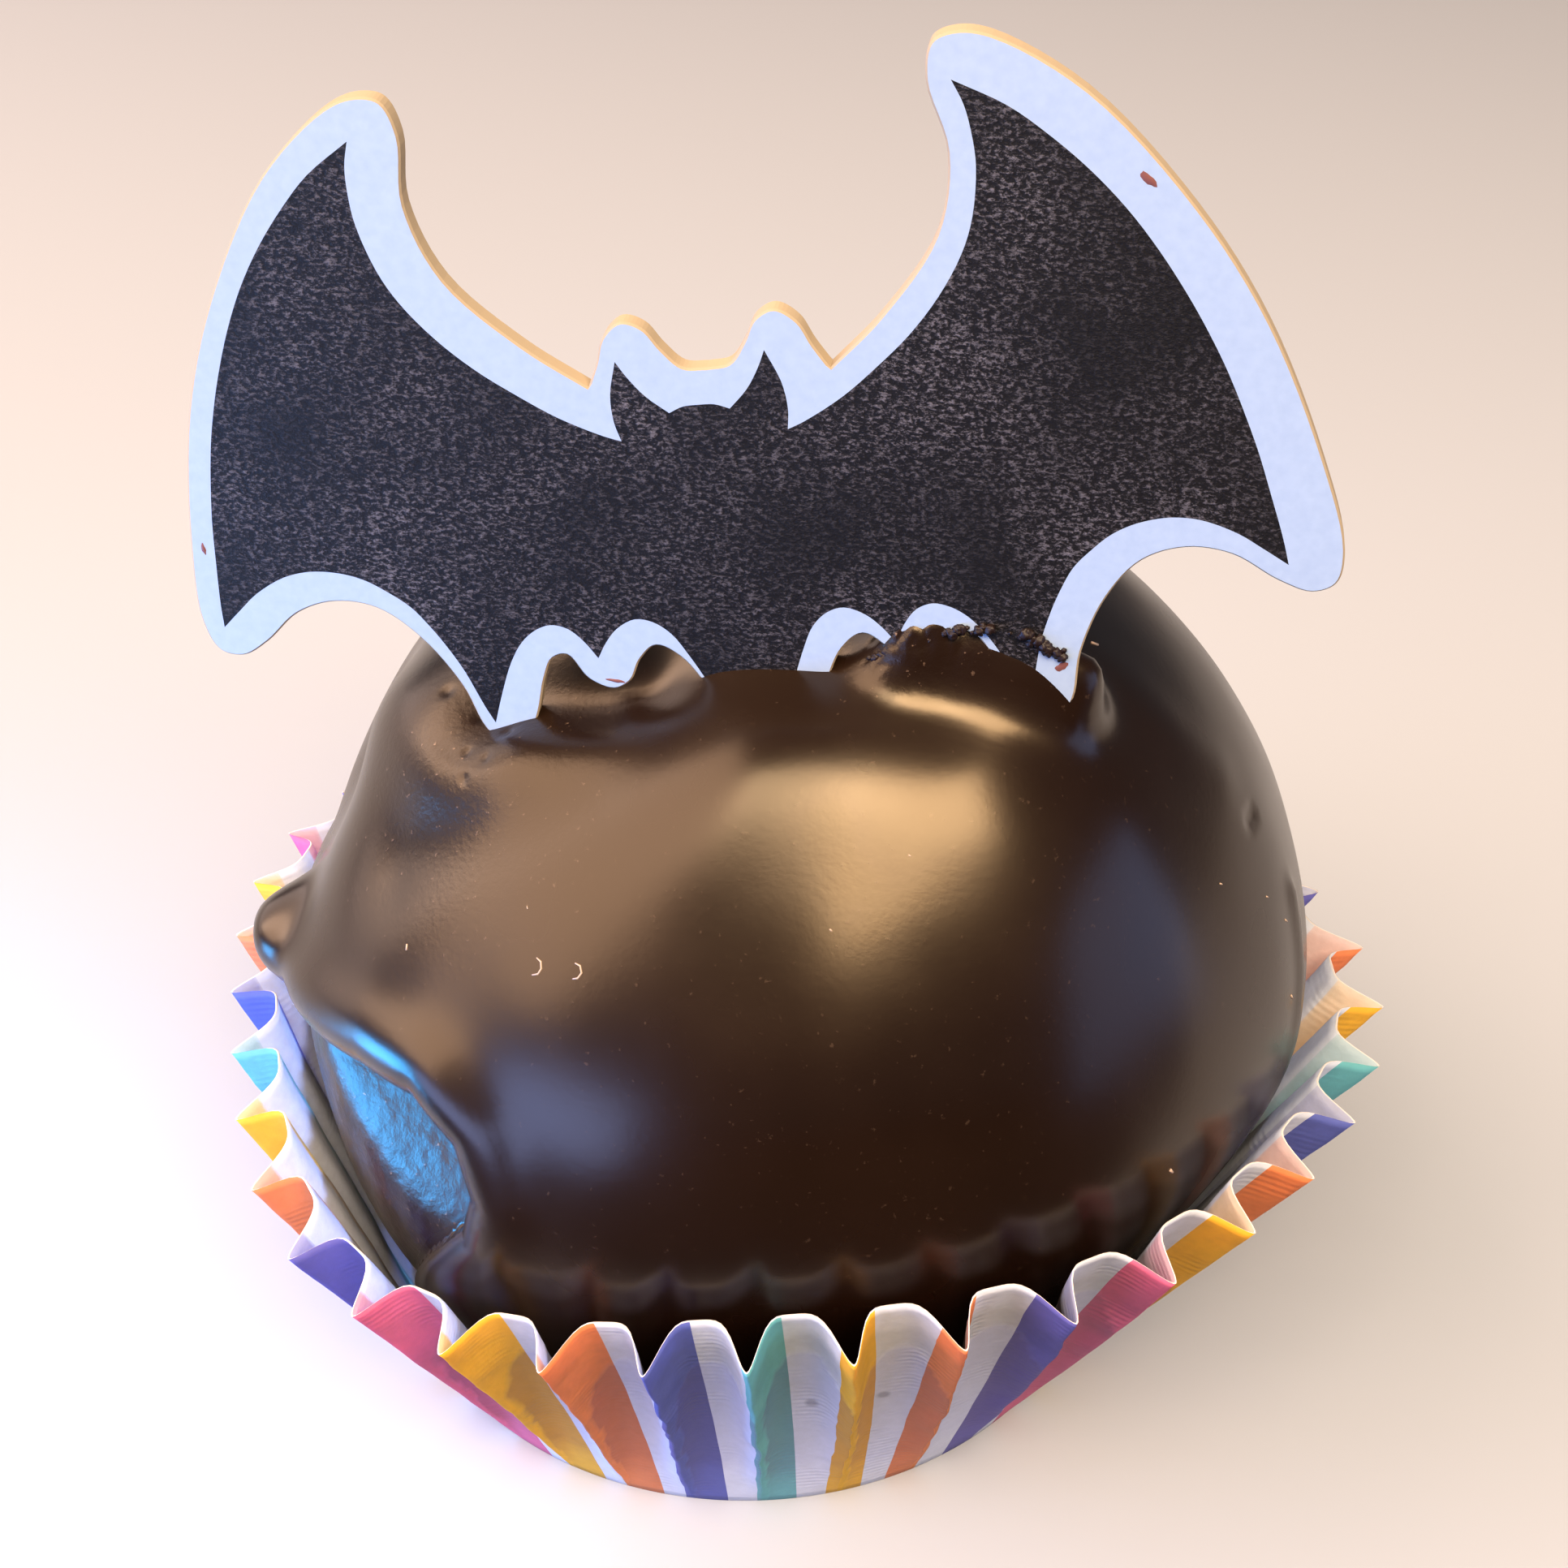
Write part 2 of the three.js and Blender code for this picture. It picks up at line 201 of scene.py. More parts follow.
def case_wall(inset):
    """The wall's points, moved towards the middle by an inset."""
    reach = radius - inset
    return np.stack([reach * np.cos(bent) + RIM_SHIFT * shares, reach * np.sin(bent),
                     shares * (RIM_HEIGHT + sum_of_waves(RIM_LIFT, bent) + CREST_RISE * crest)], -1)


def stripe_place():
    """Rises by 1 from each stripe's start to the next one's, and by half of that over its colour."""
    degrees = (np.degrees(angle) + 200) % 360 - 200
    low = [np.interp(degrees, STRIPE_AT, t) for t in (BASE_START, RIM_START)]
    high = [np.interp(degrees, STRIPE_AT, t) for t in (BASE_END, RIM_END)]
    start = low[0] + (low[1] - low[0]) * shares
    end = high[0] + (high[1] - high[0]) * shares
    whole = np.floor(phases - start)
    after = phases - start - whole
    width = end - start
    return whole + np.where(after < width, 0.5 * after / width, 0.5 + 0.5 * (after - width) / (1 - width))


outer = case_wall(0.0)
inner = case_wall(PAPER)
inner[0, :, 2] = PAPER
inner[..., 2] = np.maximum(inner[..., 2], PAPER)
columns = outer.shape[1]
FLOOR_RINGS = [0.75, 0.4]
rings = [outer[0] * [k, k, 1] for k in FLOOR_RINGS] + [inner[0] * [k, k, 1] for k in FLOOR_RINGS]
case_points = np.concatenate([outer.reshape(-1, 3), inner.reshape(-1, 3), *rings,
                              [[0, 0, 0], [0, 0, PAPER]]])
case_faces, case_face_material = [], []
OUTSIDE, INSIDE, CUT_EDGE = 0, 1, 2


def strip(low, high, material, turn=False):
    """Quads between two rings of points, given by each ring's first index."""
    for i in range(columns):
        j = (i + 1) % columns
        quad = (low + i, low + j, high + j, high + i)
        case_faces.append(quad[::-1] if turn else quad)
        case_face_material.append(material)


for row in range(ROWS - 1):
    strip(row * columns, (row + 1) * columns, OUTSIDE)
    strip((ROWS + row) * columns, (ROWS + row + 1) * columns, INSIDE, turn=True)
strip((ROWS - 1) * columns, (2 * ROWS - 1) * columns, CUT_EDGE)
under, over = 2 * ROWS * columns, (2 * ROWS + 2) * columns
strip(under, 0, OUTSIDE)
strip(under + columns, under, OUTSIDE)
strip(over, ROWS * columns, INSIDE, turn=True)
strip(over + columns, over, INSIDE, turn=True)
for i in range(columns):
    j = (i + 1) % columns
    case_faces += [(len(case_points) - 2, under + columns + j, under + columns + i),
                   (len(case_points) - 1, over + columns + i, over + columns + j)]
    case_face_material += [OUTSIDE, INSIDE]


# two grey scuffs from handling: their places, their inner and outer radius, and how grey they are
SCUFFS = [(2.4, -19.5, 9.8), (5.2, -19.45, 10.4)]
SCUFF_CORE, SCUFF_REACH, SCUFF_STRENGTH = 0.16, 0.34, 0.45
SCUFF_SQUEEZE = (1, 0.15, 0.8)  # each scuff is a little taller than wide, and lies on the slanted wall
FIBRE_SIZE, BLOT_SIZE, CRIMP_SPACING = 0.5, 3, 0.32
SHOWN_THROUGH = 0.2  # how strongly the stripes show on the inside
LIGHT_THROUGH = 0.45  # the share of light that goes through paper with nothing behind it


def paper_material(name, strength, plain_contact_shade, printed_contact_shade):
    """Thin matt greaseproof paper. The stripes are printed on the outside, and show through
    faintly on the inside. Where the chocolate touches or shades it, the paper is darkened with painted shade,
    in part the chocolate's dark showing through the greasy paper."""
    made, tree, surface = new_material(name, Roughness=0.62, IOR=1.45, Specular_IOR_Level=0.35)
    place = add(tree, "ShaderNodeAttribute", attribute_name="stripe")
    up = add(tree, "ShaderNodeAttribute", attribute_name="height")
    contact_shade = add(tree, "ShaderNodeAttribute", attribute_name="contact_shade")
    whole = add(tree, "ShaderNodeMath", {0: place.outputs["Fac"]}, operation="FLOOR")
    within = add(tree, "ShaderNodeMath", {0: place.outputs["Fac"]}, operation="FRACT")
    printed = add(tree, "ShaderNodeMath", {0: within.outputs[0], 1: 0.5}, operation="LESS_THAN")
    turn = add(tree, "ShaderNodeMath", {0: whole.outputs[0], 1: len(STRIPE_COLOURS)},
               operation="FLOORED_MODULO")
    index = add(tree, "ShaderNodeMath", {0: turn.outputs[0], 1: 0.5}, operation="ADD")
    share = add(tree, "ShaderNodeMath", {0: index.outputs[0], 1: len(STRIPE_COLOURS)}, operation="DIVIDE")
    inks = add(tree, "ShaderNodeValToRGB", {"Fac": share.outputs[0]})
    inks.color_ramp.interpolation = "CONSTANT"
    while len(inks.color_ramp.elements) < len(STRIPE_COLOURS):
        inks.color_ramp.elements.new(0.5)
    for i, code in enumerate(STRIPE_COLOURS):
        inks.color_ramp.elements[i].position = i / len(STRIPE_COLOURS)
        inks.color_ramp.elements[i].color = linear(code)
    seen = add(tree, "ShaderNodeMath", {0: printed.outputs[0], 1: strength}, operation="MULTIPLY")
    colour = add(tree, "ShaderNodeMix", {0: seen.outputs[0], 6: linear("#e9effb"), 7: inks.outputs["Color"]},
                 data_type="RGBA")
    where = add(tree, "ShaderNodeTexCoord")
    fibres = add(tree, "ShaderNodeTexNoise",
                 {"Vector": where.outputs["Object"], "Scale": 1 / (FIBRE_SIZE * MM), "Detail": 4.0,
                  "Roughness": 0.6})
    uneven_tone = add(tree, "ShaderNodeMapRange",
                      {0: fibres.outputs["Fac"], 1: 0.3, 2: 0.7, 3: 0.93, 4: 1.03})
    toned = add(tree, "ShaderNodeMix", {0: 1.0, 6: colour.outputs[2], 7: uneven_tone.outputs[0]},
                data_type="RGBA", blend_type="MULTIPLY")
    for spot in SCUFFS:
        away = add(tree, "ShaderNodeVectorMath", {0: where.outputs["Object"], 1: [c * MM for c in spot]},
                   operation="SUBTRACT")
        away = add(tree, "ShaderNodeVectorMath", {0: away.outputs[0], 1: SCUFF_SQUEEZE},
                   operation="MULTIPLY")
        away = add(tree, "ShaderNodeVectorMath", {0: away.outputs[0]}, operation="LENGTH")
        mark = add(tree, "ShaderNodeMapRange",
                   {0: away.outputs["Value"], 1: SCUFF_CORE * MM, 2: SCUFF_REACH * MM,
                    3: SCUFF_STRENGTH, 4: 0.0})
        toned = add(tree, "ShaderNodeMix", {0: mark.outputs[0], 6: toned.outputs[2], 7: linear("#5d5c66")},
                    data_type="RGBA")
    # contact patches with an uneven edge, darkened with painted shade, in part the chocolate showing through
    # greasy paper
    blots = add(tree, "ShaderNodeTexNoise",
                {"Vector": where.outputs["Object"], "Scale": 1 / (BLOT_SIZE * MM), "Detail": 2.0})
    edge = add(tree, "ShaderNodeMath", {0: blots.outputs["Fac"], 1: 0.5}, operation="SUBTRACT")
    edge = add(tree, "ShaderNodeMath", {0: edge.outputs[0], 1: 0.5, 2: contact_shade.outputs["Fac"]},
               operation="MULTIPLY_ADD")
    touch = add(tree, "ShaderNodeMapRange", {0: edge.outputs[0], 1: 0.12, 2: 0.85, 3: 0.0, 4: 1.0})
    tint = add(tree, "ShaderNodeMix", {0: seen.outputs[0], 6: linear(plain_contact_shade), 7: linear(printed_contact_shade)},
               data_type="RGBA")
    darker = add(tree, "ShaderNodeMix", {0: 1.0, 6: toned.outputs[2], 7: tint.outputs[2]},
                 data_type="RGBA", blend_type="MULTIPLY")
    tinted = add(tree, "ShaderNodeMix", {0: touch.outputs[0], 6: toned.outputs[2], 7: darker.outputs[2]},
                 data_type="RGBA")
    tree.links.new(tinted.outputs[2], surface.inputs["Base Color"])
    # fine crimps across the flutes, in patches, over the fibres' own grain
    crimps = add(tree, "ShaderNodeMath", {0: up.outputs["Fac"], 1: 2 * np.pi / CRIMP_SPACING},
                 operation="MULTIPLY")
    crimps = add(tree, "ShaderNodeMath", {0: crimps.outputs[0]}, operation="SINE")
    patches = add(tree, "ShaderNodeMapRange", {0: blots.outputs["Fac"], 1: 0.5, 2: 0.62, 3: 0.0, 4: 0.3})
    crimped = add(tree, "ShaderNodeMath",
                  {0: crimps.outputs[0], 1: patches.outputs[0], 2: fibres.outputs["Fac"]},
                  operation="MULTIPLY_ADD")
    bump = add(tree, "ShaderNodeBump",
               {"Strength": 0.5, "Distance": 0.05 * MM, "Height": crimped.outputs[0]})
    tree.links.new(bump.outputs["Normal"], surface.inputs["Normal"])
    # light shines through the thin paper, except where the chocolate touches it
    through = add(tree, "ShaderNodeBsdfTranslucent",
                  {"Color": tinted.outputs[2], "Normal": bump.outputs["Normal"]})
    output = next(n for n in tree.nodes if n.type == "OUTPUT_MATERIAL")
    free = add(tree, "ShaderNodeMapRange", {0: touch.outputs[0], 1: 0.0, 2: 1.0, 3: LIGHT_THROUGH, 4: 0.0})
    both = add(tree, "ShaderNodeMixShader",
               {0: free.outputs[0], 1: surface.outputs[0], 2: through.outputs[0]})
    tree.links.new(both.outputs[0], output.inputs["Surface"])
    return made


# The paper's cut edge is unprinted, and set a little darker than clean paper as painted shade, since the key
# light falls full on it. It draws a thin pale line round the rim.
cut_paper, _, _ = new_material("cut paper edge", Base_Color=linear("#d9d0cc"), Roughness=0.7, IOR=1.45)
paper_case = mesh_piece(
    "paper_case_visual", case_points, case_faces,
    # the outside's tints, #bfc0cf and #aca1b0, are painted shade where the chocolate touches
    [paper_material("printed greaseproof paper, outside", 1.0, "#bfc0cf", "#aca1b0"),
     # the inside's dark tint, #3a2f2c, is painted shade
     paper_material("greaseproof paper, inside", SHOWN_THROUGH, "#3a2f2c", "#3a2f2c"), cut_paper],
    case_face_material)
on_base = np.zeros(len(case_points) - 2 * ROWS * columns)
UNPRINTED = 0.75  # a stripe place within its white half
stripes = (stripe_place() + FIRST_STRIPE + WHOLE_TURNS).ravel()
point_values(paper_case, "stripe", np.concatenate([stripes, stripes, on_base + UNPRINTED]))
point_values(paper_case, "height", np.concatenate([height.ravel(), height.ravel(), on_base]))
# On the outside these contact patches are painted shade, in part the dark chocolate showing through greasy
# paper.
# The chocolate touches each flute from just after one fold to the next, up to an arch below the rim: where
# it starts, the arch's top and its fall in shares of the height, and the arch's middle and half width.
TOUCH_FROM, ARCH_TOP, ARCH_FALL, ARCH_MIDDLE, ARCH_HALF = 0.06, 0.84, 0.18, 0.54, 0.46
ragged = 0.06 * wall_ripple(np.floor(phases) * 4.1, height / 0.9, 11)
ragged += 0.03 * wall_ripple(np.floor(phases) * 4.1, height / 0.9, 12, finer=2.7)
arch = ARCH_TOP - ARCH_FALL * ((after_fold - ARCH_MIDDLE) / ARCH_HALF) ** 2 + 0.4 * ragged
touching = smooth_step(after_fold - TOUCH_FROM - 0.8 * ragged, 0, 0.04) * smooth_step(arch - shares, 0, 0.05)
touching *= 0.55 + 0.45 * smooth_step(shares, 0.05, 0.35)  # fainter near the base
# A guess, as this side doesn't show: the paper inside the front is painted dark as shade, most of all at this
# azimuth and up to just below the rim. It keeps pale paper out of what the coat's dark lower front mirrors.
INNER_SHADE_MIDDLE, INNER_SHADE_WIDTH, INNER_SHADE_TOP = -80, 30, 0.93
at_front = bell((np.degrees(angle) - INNER_SHADE_MIDDLE + 180) % 360 - 180, INNER_SHADE_WIDTH)
painted_inner_shade = at_front * smooth_step(INNER_SHADE_TOP - shares, 0, 0.05)
point_values(paper_case, "contact_shade", np.concatenate([touching.ravel(), painted_inner_shade.ravel(), on_base]))
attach(paper_case, "root")
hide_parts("paper_case")

# ---------------------------------------------------------------------------------------------
# The cake. A ball of crumb, dipped twice in dark chocolate. The second coat stops short at the
# lower left, where it ends in a rounded roll with a drop, and the thin first coat shows the crumb.
# The coats slumped into a shoulder, a valley and a mound as they set, and the plaque raised a lip.
# ---------------------------------------------------------------------------------------------
CAKE_RADIUS, CAKE_MIDDLE = 21.6, np.array([2.7, 0.1, 17.0])
CAKE_ROUNDING, CASE_GAP = 0.6, 0.3  # where the ball meets the case: its rounding, and the room left
# Forms lie in directions from the cake's middle: azimuth and elevation, width in degrees, height. They were
# set from where each spot's reflection points, to match the coat's outline and what it mirrors.
LOBES = [
    ((-146, -15), 26, 1.1),  # belly at the lower left
    ((-178, 18), 9, -0.7),  # hollow side below the left shoulder
    ((177, 32), 7, -1.0),  # hollow in the shoulder's side
    ((-50, 50), 12, 0.9),  # mound in front of the plaque, at the right
    ((-66, 59), 4.5, -0.3),  # dent between the mound and the plaque
]
RIDGES = [
    ([(-66, 66.5), (-58, 64.5), (-50, 60.5), (-43, 56)], 2.6, 2.4),  # lip pushed up by the plaque
    ([(-178, 38), (-166, 44), (-155, 47), (-144, 50)], 5, 0.8),  # shoulder at the left
    ([(-166, 12), (-150, 15), (-136, 17)], 7, 0.6),  # the coat flares out above its edge
    ([(-150, 34), (-138, 43), (-127, 51), (-116, 59), (-104, 63.5), (-88, 65)], 4.5, -0.4),  # valley
    ([(-151, 52), (-141, 58), (-130, 63)], 4, -1.2),  # hollow that the plaque pressed into the shoulder
    ([(-100, 59), (-65, 59)], 7, 0.6),  # where the second coat was drawn up to the plaque
    ([(-27, 57), (-26, 50), (-25, 44), (-22, 38)], 3, 0.12),  # a run of the second coat
    ([(-17, 19), (-20, 11), (-25, 4), (-33, 1)], 1.2, 0.2),  # thin lip low at the right
    ([(-21.5, 31.5), (-18.5, 31)], 0.5, -0.15),  # notch above it
]
# pits where bubbles burst: direction, width in degrees, height
PITS = [((-162, 49), 0.5, -0.1), ((-154, 50), 0.4, -0.08), ((-147, 51), 0.5, -0.12), ((-145, 48), 0.4, -0.08),
        ((-146, 45), 0.4, -0.06), ((-149, 47), 0.4, -0.08)]
# crumbs stand in the chocolate where the plaque pushed through it
CRUMBLY, CRUMBLY_WIDTH, CRUMBLY_HEIGHT = [(-71, 66.5), (-63, 66), (-59, 65)], 1.4, 0.3
# the outline of the patch that the second coat left bare
BARE_PATCH = [(-170, 8), (-157, 10), (-142, 14), (-134, 15), (-129, 12), (-127, 7), (-128, 2), (-134, -6),
              (-145, -22), (-160, -34), (-182, -30), (-196, -12), (-190, 4)]
# the second coat's thickness, and its edge: how far in it rounds off, and the roll's height, place and width
COAT, COAT_ROUND, ROLL, ROLL_AT, ROLL_WIDTH = 0.8, 1.3, 0.4, 1.6, 0.9
# the crumb under the bare patch is nearly flat: how far its plane lies from the middle, and its direction
FLAT_AT, FLAT_WAY, FLAT_ROUNDING = 18.6, (-128, 30), 0.25
DROP_AT, DROP_HEIGHT, DROP_WIDTH = (-170, 11.5), 1.6, 4.6


def towards(azimuth, elevation):
    """The direction with these two angles, as a vector of length 1."""
    turn, rise = np.radians(azimuth), np.radians(elevation)
    return np.array([np.cos(rise) * np.cos(turn), np.cos(rise) * np.sin(turn), np.sin(rise)])


def angle_between(ways, way):
    return np.degrees(np.arccos(np.clip(ways @ way, -1, 1)))


def angle_to_path(ways, path):
    """Degrees from each direction to the nearest place on a path of directions."""
    corners = [towards(*p) for p in path]
    nearest = np.full(len(ways), 180.0)
    for a, b in zip(corners[:-1], corners[1:]):
        along = np.clip(((ways - a) @ (b - a)) / ((b - a) @ (b - a)), 0, 1)
        on_path = a + along[:, None] * (b - a)
        on_path /= np.linalg.norm(on_path, axis=1, keepdims=True)
        nearest = np.minimum(nearest, np.degrees(np.arccos(np.clip((ways * on_path).sum(1), -1, 1))))
    return nearest


def patch_distance(ways):
    """Millimetres to the outline of the bare patch, negative inside it."""
    elevation = np.degrees(np.arcsin(np.clip(ways[:, 2], -1, 1)))
    azimuth = np.degrees(np.arctan2(ways[:, 1], ways[:, 0]))
    azimuth = np.where(azimuth > 0, azimuth - 360, azimuth)
    squeeze = np.cos(np.radians(elevation))
    inside, nearest = np.zeros(len(ways), dtype=bool), np.full(len(ways), np.inf)
    for (az0, el0), (az1, el1) in zip(BARE_PATCH[-1:] + BARE_PATCH[:-1], BARE_PATCH):
        crosses = (el0 > elevation) != (el1 > elevation)
        inside ^= crosses & (azimuth < az0 + (az1 - az0) * (elevation - el0) / (el1 - el0))
        along = np.stack([(az1 - az0) * squeeze, np.full(len(ways), el1 - el0)], -1)
        off = np.stack([(azimuth - az0) * squeeze, elevation - el0], -1)
        share = np.clip((off * along).sum(1) / (along ** 2).sum(1), 0, 1)
        nearest = np.minimum(nearest, np.linalg.norm(off - share[:, None] * along, axis=1))
    return np.where(inside, -1, 1) * np.radians(nearest) * CAKE_RADIUS


def free_reach(ways):
    """The ball's radius in each direction, with its forms, before the case shapes it."""
    reach = np.full(len(ways), CAKE_RADIUS)
    for at, width, height in LOBES:
        reach += height * bell(angle_between(ways, towards(*at)), width)
    for path, width, height in RIDGES:
        reach += height * bell(angle_to_path(ways, path), width)
    # uneven coats: slow swells of 5 to 9 mm
    spots = ways * CAKE_RADIUS
    reach += 0.09 * ripple(spots / 8.0, 5) + 0.05 * ripple(spots / 4.5, 6)
    for at, width, height in PITS:
        reach += height * bell(angle_between(ways, towards(*at)), width)
    crumbly = bell(angle_to_path(ways, CRUMBLY), CRUMBLY_WIDTH)
    lumps = np.abs(ripple(spots / 0.5, 9)) * 1.6 + 0.5 * ripple(spots / 0.3, 10) - 0.3
    reach += CRUMBLY_HEIGHT * crumbly * lumps
    # inside the patch only the thin first coat covers the flattened crumb, with grains of 0.5 to 1 mm
    edge = patch_distance(ways)
    flat = FLAT_AT / np.maximum(ways @ towards(*FLAT_WAY), 0.3)
    thin = reach - COAT
    thin = -FLAT_ROUNDING * np.logaddexp(-thin / FLAT_ROUNDING, -flat / FLAT_ROUNDING)
    crumb = smooth_step(-edge, 0.2, 1.0)
    thin += 0.03 * crumb * (ripple(spots / 0.5, 7) + 0.7 * ripple(spots / 1.1, 8))
    # the second coat ends in a rounded roll
    short = 1 - np.clip(edge / COAT_ROUND, 0, 1)
    thick = reach + ROLL * bell(edge - ROLL_AT, ROLL_WIDTH)
    thick -= COAT * (1 - np.sqrt(np.maximum(1 - short ** 2, 0)))
    reach = np.where(edge > 0, thick, thin)
    # the drop hangs from the second coat's edge
    drop = np.exp(-0.5 * (angle_between(ways, towards(*DROP_AT)) / DROP_WIDTH) ** 3)
    return reach + DROP_HEIGHT * drop * smooth_step(edge, -0.3, 0.5)


def wall_reach(ways):
    """How far the ball can go in each direction before it meets the case's wall."""
    near, far = np.zeros(len(ways)), np.full(len(ways), 2 * CAKE_RADIUS)
    for _ in range(20):
        middle = (near + far) / 2
        point = CAKE_MIDDLE + ways * middle[:, None]
        around = np.arctan2(point[:, 1], point[:, 0])
        share = np.maximum(point[:, 2], 0) / (RIM_HEIGHT + sum_of_waves(RIM_LIFT, around) + CREST_RISE)
        x = point[:, 0] - RIM_SHIFT * share
        around = np.arctan2(point[:, 1], x)
        limit = BASE_RADIUS + (RIM_RADIUS + sum_of_waves(RIM_SWAY, around) - BASE_RADIUS) * share
        limit -= RIM_DEPTH * share + CAD_PAPER + CASE_GAP
        clear = np.hypot(x, point[:, 1]) < limit
        near, far = np.where(clear, middle, near), np.where(clear, far, middle)
    return near


def cake_surface(ways):
    """The coat's points: the ball, rounded off where it meets the case's wall and its base."""
    height = CAKE_MIDDLE[2] - CAD_PAPER - CASE_GAP
    floor = np.where(ways[:, 2] < -0.1, height / np.maximum(-ways[:, 2], 0.1), 1e3)
    lengths = np.stack([free_reach(ways), wall_reach(ways), floor])
    least = lengths.min(0)
    reach = least - CAKE_ROUNDING * np.log(np.exp(-(lengths - least) / CAKE_ROUNDING).sum(0))
    return CAKE_MIDDLE + ways * reach[:, None]


def cake_ways():
    """Directions and triangles of a fine ball, finer still at the coat's edge and the bare patch."""
    ball = bmesh.new()
    bmesh.ops.create_icosphere(ball, subdivisions=7, radius=1.0)
    for band in (1.5, 0.7):
        ways = np.array([v.co.normalized() for v in ball.verts])
        edge = patch_distance(ways)
        near = (np.abs(edge) < band) | ((edge < 0) & (ways[:, 1] < 0.35) & (band > 1))
        near |= (angle_between(ways, towards(*DROP_AT)) < 9) & (band > 1)
        near |= angle_to_path(ways, CRUMBLY) < (5 if band > 1 else 3.6)
        near |= np.min([angle_between(ways, towards(*at)) for at, _, _ in PITS], axis=0) < 2
        near &= ways[:, 2] > -0.6
        ball.verts.ensure_lookup_table()
        chosen = [e for e in ball.edges if near[e.verts[0].index] and near[e.verts[1].index]]
        bmesh.ops.subdivide_edges(ball, edges=chosen, cuts=1, use_grid_fill=True)
        bmesh.ops.triangulate(ball, faces=[f for f in ball.faces if len(f.verts) > 3])
        ball.verts.index_update()
    ways = np.array([v.co.normalized() for v in ball.verts])
    faces = [[v.index for v in f.verts] for f in ball.faces]
    ball.free()
    return ways, faces


ways, cake_faces = cake_ways()
cake_points = cake_surface(ways)

# Dark couverture chocolate, dipped and left to set: satin, not tempered to a mirror. It gives soft warm
# highlights with a slightly grainy edge, and is nearly black where nothing is mirrored. Where the coat is
# thin or crumbly it is rougher, with pale specks of sugar and crumb. The warm tint of what it mirrors is a
# choice of looks.
chocolate, tree, surface = new_material("dark chocolate coat", Roughness=0.27, IOR=1.47,
                                        Specular_IOR_Level=0.65, Specular_Tint=linear("#ffe8c8"))
where = add(tree, "ShaderNodeTexCoord")
grain = add(tree, "ShaderNodeAttribute", attribute_name="grain")
# the coat's gloss varies over 6 mm, and the grain of sugar and crumb is 0.28 mm
cloud = add(tree, "ShaderNodeTexNoise",
            {"Vector": where.outputs["Object"], "Scale": 1 / (6 * MM), "Detail": 3.0})
fine = add(tree, "ShaderNodeTexNoise",
           {"Vector": where.outputs["Object"], "Scale": 1 / (0.28 * MM), "Detail": 3.0, "Roughness": 0.6})
tone = add(tree, "ShaderNodeMix", {0: cloud.outputs["Fac"], 6: linear("#130804"), 7: linear("#1b0d07")},
           data_type="RGBA")
speck = add(tree, "ShaderNodeMapRange", {0: fine.outputs["Fac"], 1: 0.66, 2: 0.74, 3: 0.0, 4: 0.8})
speck = add(tree, "ShaderNodeMath", {0: speck.outputs[0], 1: grain.outputs["Fac"]}, operation="MULTIPLY")
tone = add(tree, "ShaderNodeMix", {0: speck.outputs[0], 6: tone.outputs[2], 7: linear("#8a6f5c")},
           data_type="RGBA")
tree.links.new(tone.outputs[2], surface.inputs["Base Color"])
gloss = add(tree, "ShaderNodeMapRange", {0: cloud.outputs["Fac"], 1: 0.3, 2: 0.7, 3: 0.22, 4: 0.28})
gloss = add(tree, "ShaderNodeMath", {0: grain.outputs["Fac"], 1: 0.07, 2: gloss.outputs[0]},
            operation="MULTIPLY_ADD")
tree.links.new(gloss.outputs[0], surface.inputs["Roughness"])
rise = add(tree, "ShaderNodeMath", {0: fine.outputs["Fac"], 1: grain.outputs["Fac"]}, operation="MULTIPLY")
bump = add(tree, "ShaderNodeBump", {"Strength": 1.0, "Distance": 0.025 * MM, "Height": rise.outputs[0]})
tree.links.new(bump.outputs["Normal"], surface.inputs["Normal"])

cake = mesh_piece("cake_visual", cake_points, cake_faces, [chocolate])
# grain: a little everywhere, most on the bare patch, on the shoulder and in the crumbs at the plaque
edge = patch_distance(ways)
grainy = 0.12 + 0.8 * smooth_step(-edge, 0.0, 0.8)
grainy = np.maximum(grainy, 0.75 * bell(angle_between(ways, towards(-150, 46)), 12))
grainy = np.maximum(grainy, bell(angle_to_path(ways, CRUMBLY), 3))
point_values(cake, "grain", grainy)
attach(cake, "root")
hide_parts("cake")

# Flecks of pale crumb and sugar that dried onto the coat: short curls and dots, 0.1 to 0.2 mm thick. Each
# has its path of directions and half its thickness.
FLECKS = [([(-123.4, 33.9), (-122.7, 33.7), (-122.4, 33.1), (-122.6, 32.5), (-123.3, 32.2)], 0.04),
          ([(-118.5, 34.7), (-117.8, 34.6), (-117.4, 34), (-117.7, 33.4), (-118.3, 33.2)], 0.04),
          ([(-141.4, 28.3), (-141, 27.8)], 0.07), ([(-127, 38), (-126.8, 37.8)], 0.04),
          ([(-77.2, 47), (-76.9, 46.8)], 0.05), ([(-88.2, 41), (-87.9, 40.8)], 0.05),
          ([(-51.4, 6.6), (-51, 6)], 0.12), ([(-34, 31), (-33.6, 30.7)], 0.06),
          ([(-25, 24.2), (-24.6, 23.8)], 0.06), ([(-24.3, 57.4), (-23.4, 56.7)], 0.1),
          ([(-22, 19.2), (-21.5, 18.6)], 0.07), ([(-25, 11.4), (-24.5, 10.6)], 0.08)]


